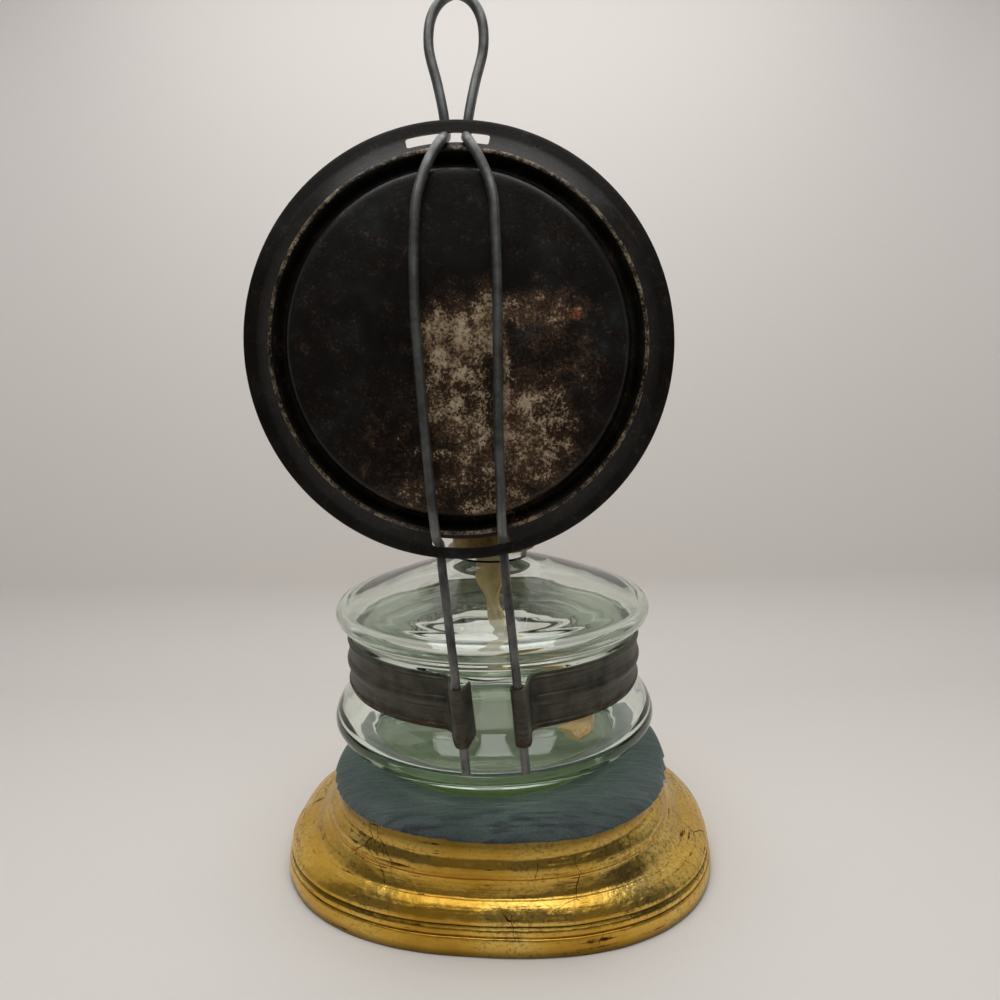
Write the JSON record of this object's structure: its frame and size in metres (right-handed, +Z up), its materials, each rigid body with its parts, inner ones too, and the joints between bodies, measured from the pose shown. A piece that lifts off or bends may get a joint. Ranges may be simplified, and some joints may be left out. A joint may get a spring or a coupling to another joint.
{
  "type": "kerosene lamp",
  "caption": "Flat-wick oil lamp: squat glass font with a waist strap, round tin reflector on a bent hanging wire, burner, chimney, and a gilded oval stand with a velvet pad.",
  "frame": {"origin": "on the stand's underside, straight below the lamp's vertical axis", "axes": "+Z up; -Y towards the reflector's back, as pictured; +Y towards the flame side; the raiser's knob is on the -X side"},
  "size_m": [0.1662, 0.148, 0.29],
  "materials": {
    "gilded_wood": "gold leaf over moulded wood, rubbed and cracked",
    "velvet": "blue-grey cotton velvet with a brushed nap",
    "font_glass": "blown glass with a faint green tint",
    "chimney_glass": "thin clear glass",
    "japanned_tin": "black japan over tinplate, worn and rusty",
    "strap_tin": "darkened tinplate with rusty edges",
    "steel_wire": "dull drawn steel",
    "collar_brass": "tarnished brass",
    "burner_brass": "aged brass",
    "cotton_wick": "woven cotton, stained at its end"
  },
  "bodies": {
    "stand": {"stand_base": "gilded_wood", "velvet_pad": "velvet"},
    "font": {"glass_font": "font_glass", "font_collar": "collar_brass", "waist_strap": "strap_tin"},
    "reflector_frame": {"bent_wire": "steel_wire", "reflector": "japanned_tin"},
    "thread_ring": {"burner_thread_ring": "burner_brass"},
    "burner": {"burner_cup": "burner_brass", "air_basket": "burner_brass", "wick_tube": "burner_brass", "gallery_plate": "burner_brass", "flame_cone": "burner_brass", "chimney_prong_1": "burner_brass", "chimney_prong_2": "burner_brass", "chimney_prong_3": "burner_brass", "chimney_prong_4": "burner_brass", "raiser_sleeve": "burner_brass"},
    "raiser": {"raiser_shaft": "steel_wire", "spur_wheel_left": "burner_brass", "spur_wheel_right": "burner_brass", "raiser_knob": "burner_brass"},
    "wick": {"wick": "cotton_wick"},
    "chimney": {"chimney": "chimney_glass"}
  },
  "joints": [
    {"name": "lamp_lift", "type": "slide", "parent": "stand", "child": "font", "axis": [0, 0, 1], "range_m": [0, 0.06]},
    {"name": "frame_pull", "type": "slide", "parent": "font", "child": "reflector_frame", "axis": [-0.0854, 0, 0.9963], "range_m": [0, 0.031]},
    {"name": "burner_rise", "type": "slide", "parent": "font", "child": "thread_ring", "axis": [0, 0, 1], "range_m": [0, 0.0072]},
    {"name": "burner_turn", "type": "hinge", "parent": "thread_ring", "child": "burner", "pos_m": [0, 0, 0.1329], "axis": [0, 0, 1], "range_deg": [0, 1350]},
    {"name": "raiser_turn", "type": "hinge", "parent": "burner", "child": "raiser", "pos_m": [0, 0.0061, 0.13941], "axis": [-1, 0, 0], "range_deg": [-50, 50]},
    {"name": "wick_lift", "type": "slide", "parent": "burner", "child": "wick", "axis": [0, 0, 1], "range_m": [-0.0042, 0.0042]},
    {"name": "chimney_lift", "type": "slide", "parent": "burner", "child": "chimney", "axis": [0, 0, 1], "range_m": [0, 0.05]}
  ],
  "couplings": [
    {"joint": "burner_rise", "follows": "burner_turn", "m_per_rad": 0.00028648},
    {"joint": "wick_lift", "follows": "raiser_turn", "m_per_rad": 0.0046}
  ]
}
